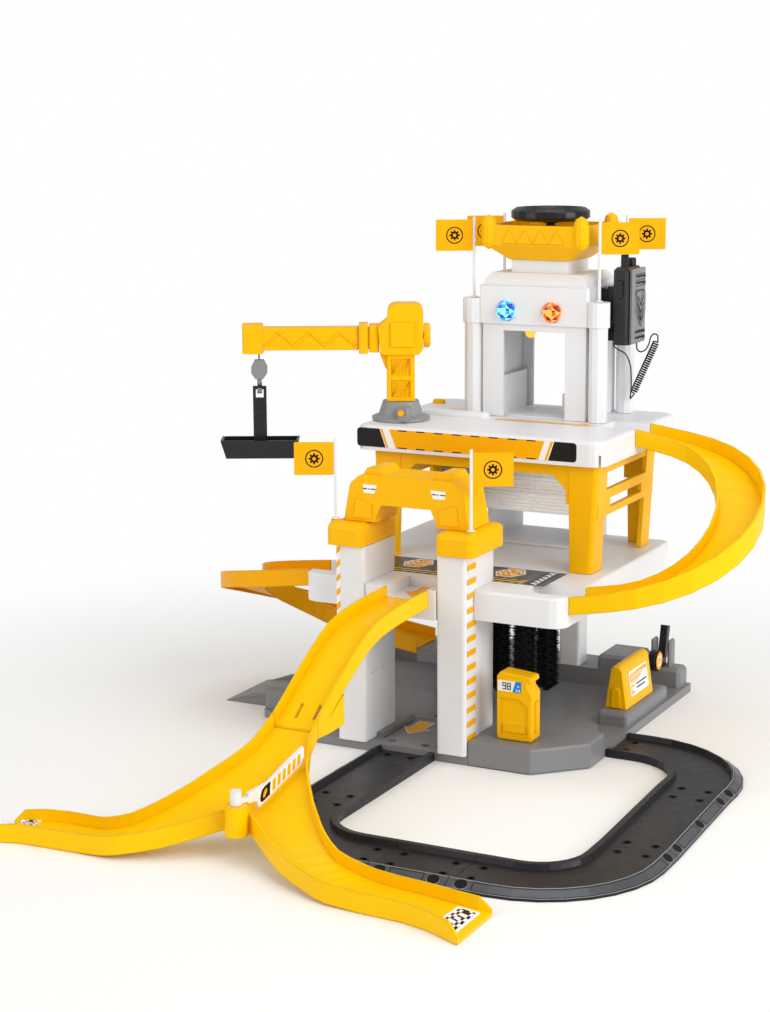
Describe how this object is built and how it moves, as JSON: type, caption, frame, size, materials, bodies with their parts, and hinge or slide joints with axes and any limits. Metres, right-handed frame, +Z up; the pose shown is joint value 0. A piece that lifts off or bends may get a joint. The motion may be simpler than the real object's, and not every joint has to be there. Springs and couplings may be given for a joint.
{
  "type": "toy parking garage",
  "caption": "Multi-storey toy car garage with a lift tower, slides, a swing crane, a car wash, a handset and a track loop.",
  "frame": {"origin": "underside of the base plate, near its middle", "axes": "+Z up, +X to the right and -Y towards the gate"},
  "size_m": [0.5184, 0.6353, 0.4487],
  "materials": {
    "grey": "satin moulded plastic",
    "white": "gloss moulded plastic",
    "yellow": "gloss moulded plastic",
    "black": "satin moulded plastic",
    "light_grey": "gloss moulded plastic",
    "bristle": "soft moulded bristles",
    "cord": "soft plastic sheath",
    "blue_lens": "clear faceted lens",
    "orange_lens": "clear faceted lens",
    "amber_lens": "clear faceted lens"
  },
  "bodies": {
    "garage": {"base_plate": "grey", "base_ramp": "grey", "crane_foot": "grey", "crane_screw": "yellow", "deck_peg_1": "yellow", "deck_peg_2": "yellow", "deck_stand": "yellow", "front_slide": "yellow", "fuel_can": "yellow", "fuel_pump": "yellow", "gate_arch": "yellow", "gate_cap_left": "yellow", "gate_cap_right": "yellow", "gate_flag_left": "white", "gate_flag_right": "white", "gate_pillar_left": "white", "gate_pillar_right": "white", "handset_bracket": "black", "handset_cord": "cord", "lamp_amber": "amber_lens", "lamp_blue": "blue_lens", "lamp_orange": "orange_lens", "left_slide": "yellow", "mid_deck": "white", "rear_column_left": "white", "rear_column_right": "white", "right_slide": "yellow", "shaft_frame": "white", "shutter_panel": "light_grey", "slide_fork": "yellow", "top_deck": "white", "tower_crown": "yellow", "tower_flag_1": "white", "tower_flag_2": "white", "tower_flag_3": "white", "tower_flag_4": "white", "tower_shell": "white", "track_corner_left": "black", "track_corner_rear": "black", "track_corner_right": "black", "track_front": "black", "track_gate": "black", "track_side": "black"},
    "lift_wheel": {"steering_wheel": "black"},
    "lift_bar": {"lift_screw": "grey"},
    "lift_cage": {"lift_car": "yellow"},
    "crane": {"crane_mast": "yellow", "crane_boom": "yellow"},
    "winch": {"winch_knob": "yellow"},
    "hoist": {"hook_block": "light_grey"},
    "skip": {"skip_tray": "black"},
    "diverter": {"diverter_arm": "white"},
    "brush_1": {"wash_brush_1": "bristle"},
    "brush_2": {"wash_brush_2": "bristle"},
    "brush_3": {"wash_brush_3": "bristle"},
    "handset": {"handset_body": "black", "handset_face": "light_grey"},
    "talk_button": {"handset_button": "black"},
    "volume_knob": {"handset_knob": "black"},
    "nozzle": {"fuel_nozzle": "black"}
  },
  "joints": [
    {"name": "wheel_turn", "type": "hinge", "parent": "garage", "child": "lift_wheel", "pos_m": [0.04, 0.0885, 0.443], "axis": [0, 0, 1], "range_deg": [0, 824.5]},
    {"name": "bar_turn", "type": "hinge", "parent": "garage", "child": "lift_bar", "pos_m": [0.06, 0.1025, 0.2], "axis": [0, 0, 1], "range_deg": [-825.5, 0]},
    {"name": "cage_travel", "type": "slide", "parent": "garage", "child": "lift_cage", "axis": [0, 0, 1], "range_m": [-0.11, 0]},
    {"name": "crane_slew", "type": "hinge", "parent": "garage", "child": "crane", "pos_m": [-0.066, 0, 0.28], "axis": [0, 0, 1], "range_deg": [-80, 45]},
    {"name": "winch_turn", "type": "hinge", "parent": "crane", "child": "winch", "pos_m": [-0.04821, 0.00914, 0.3383], "axis": [0.8894, 0.4571, 0], "range_deg": [-283, 97]},
    {"name": "hoist_travel", "type": "slide", "parent": "crane", "child": "hoist", "axis": [0, 0, 1], "range_m": [-0.0158, 0.0054]},
    {"name": "tray_swing", "type": "hinge", "parent": "hoist", "child": "skip", "pos_m": [-0.17807, -0.05759, 0.2923], "axis": [0.8894, 0.4571, 0], "range_deg": [-25, 25]},
    {"name": "diverter_swing", "type": "hinge", "parent": "garage", "child": "diverter", "pos_m": [0.009, -0.417, 0.045], "axis": [0, 0, 1], "range_deg": [0, 41]},
    {"name": "brush_spin_1", "type": "hinge", "parent": "garage", "child": "brush_1", "pos_m": [0.094, -0.088, 0.08], "axis": [0, 0, 1], "continuous": true},
    {"name": "brush_spin_2", "type": "hinge", "parent": "garage", "child": "brush_2", "pos_m": [0.094, -0.04, 0.08], "axis": [0, 0, 1], "continuous": true},
    {"name": "brush_spin_3", "type": "hinge", "parent": "garage", "child": "brush_3", "pos_m": [0.058, -0.06, 0.08], "axis": [0, 0, 1], "continuous": true},
    {"name": "handset_lift_off", "type": "slide", "parent": "garage", "child": "handset", "axis": [1, 0, 0], "range_m": [0, 0.03]},
    {"name": "talk_button_press", "type": "slide", "parent": "handset", "child": "talk_button", "axis": [0, 1, 0], "range_m": [0, 0.0012], "stiffness_N_per_m": 150},
    {"name": "volume_turn", "type": "hinge", "parent": "handset", "child": "volume_knob", "pos_m": [0.116, 0.092, 0.4], "axis": [0, 0, 1], "range_deg": [0, 270]},
    {"name": "nozzle_lift_out", "type": "slide", "parent": "garage", "child": "nozzle", "axis": [0, 0, 1], "range_m": [0, 0.05]}
  ],
  "couplings": [
    {"joint": "bar_turn", "follows": "wheel_turn", "ratio": -1},
    {"joint": "cage_travel", "follows": "wheel_turn", "m_per_rad": -0.0076394},
    {"joint": "winch_turn", "follows": "hoist_travel", "rad_per_m": 312.5}
  ]
}
